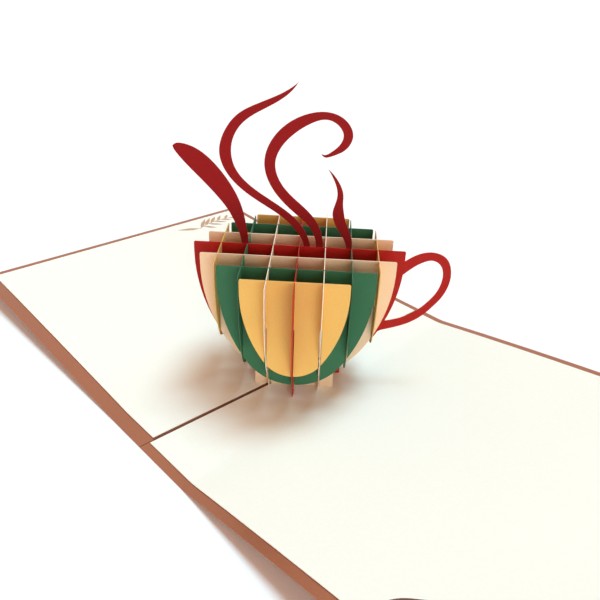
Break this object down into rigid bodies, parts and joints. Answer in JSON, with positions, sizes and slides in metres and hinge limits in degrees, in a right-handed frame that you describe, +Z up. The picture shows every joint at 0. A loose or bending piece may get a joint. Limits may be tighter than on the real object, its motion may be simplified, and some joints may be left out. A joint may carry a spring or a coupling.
{
  "type": "pop-up greeting card",
  "caption": "Opened pop-up greeting card: a folded cover sheet with ivory liners and a standing coffee cup of interlocking paper slats with handle, spoon and steam.",
  "frame": {"origin": "on the underside of the cover sheet, on its fold line, straight below the middle of the paper cup", "axes": "+Y along the fold, +X across the fold towards the half that rises more, +Z up; the slat with the handle stands in the vertical plane x = y"},
  "size_m": [0.2906, 0.1515, 0.1146],
  "materials": {
    "brown_cover": "satin copper-brown card",
    "liner_paper": "matt ivory paper",
    "gold_paper": "pearl satin paper",
    "green_paper": "pearl satin paper",
    "cream_paper": "pearl satin paper",
    "red_paper": "pearl satin paper"
  },
  "bodies": {
    "root": {"card_cover": "brown_cover", "left_liner": "liner_paper", "right_liner": "liner_paper", "across_slat_1": "gold_paper", "across_slat_2": "green_paper", "across_slat_3": "cream_paper", "handle_and_steam_slat": "red_paper", "across_slat_5": "cream_paper", "across_slat_6": "green_paper", "across_slat_7": "gold_paper", "through_slat_1": "gold_paper", "through_slat_2": "green_paper", "through_slat_3": "cream_paper", "through_slat_4": "red_paper", "through_slat_5": "cream_paper", "through_slat_6": "green_paper", "through_slat_7": "gold_paper"}
  },
  "joints": []
}
